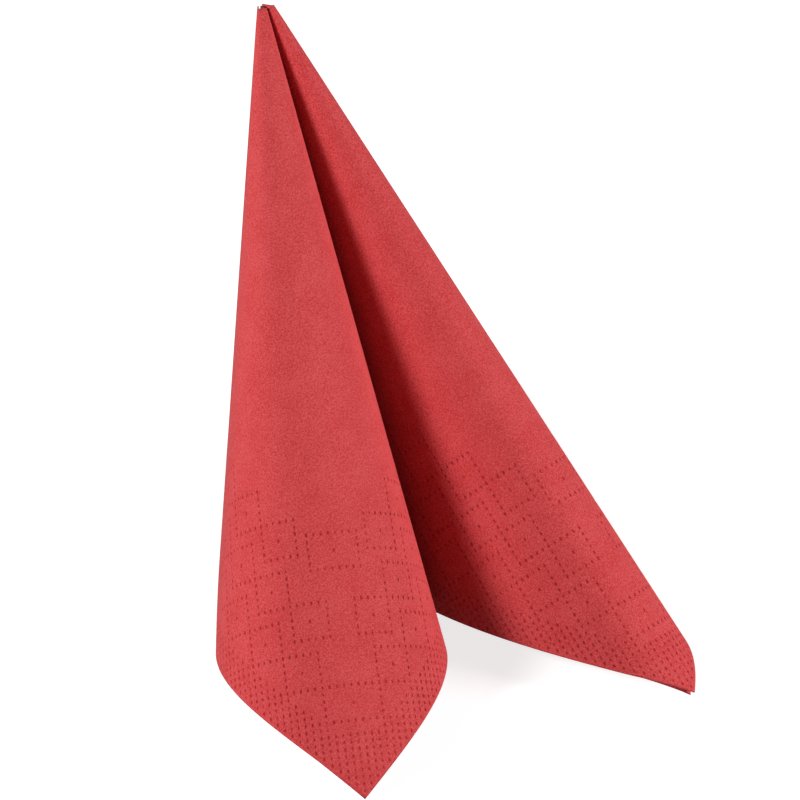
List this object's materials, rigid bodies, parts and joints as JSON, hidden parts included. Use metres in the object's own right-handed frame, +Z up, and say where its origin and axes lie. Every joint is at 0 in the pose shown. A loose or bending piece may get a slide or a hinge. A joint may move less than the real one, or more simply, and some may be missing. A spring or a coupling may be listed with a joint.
{
  "type": "paper napkin",
  "caption": "Square tissue napkin, folded into quarters and opened into a standing fan with two rounded lobes and a deep valley between them.",
  "frame": {"origin": "middle of the footprint, on the surface that the napkin stands on", "axes": "+Z up, from the table to the crown; -Y towards the side that the two corners point to, with the valley between the lobes facing that way; +X to the right lobe"},
  "size_m": [0.128, 0.16, 0.1586],
  "materials": {
    "tissue": "soft matt red tissue, dyed through, with a dotted embossed border"
  },
  "bodies": {
    "root": {"napkin": "tissue"}
  },
  "joints": []
}
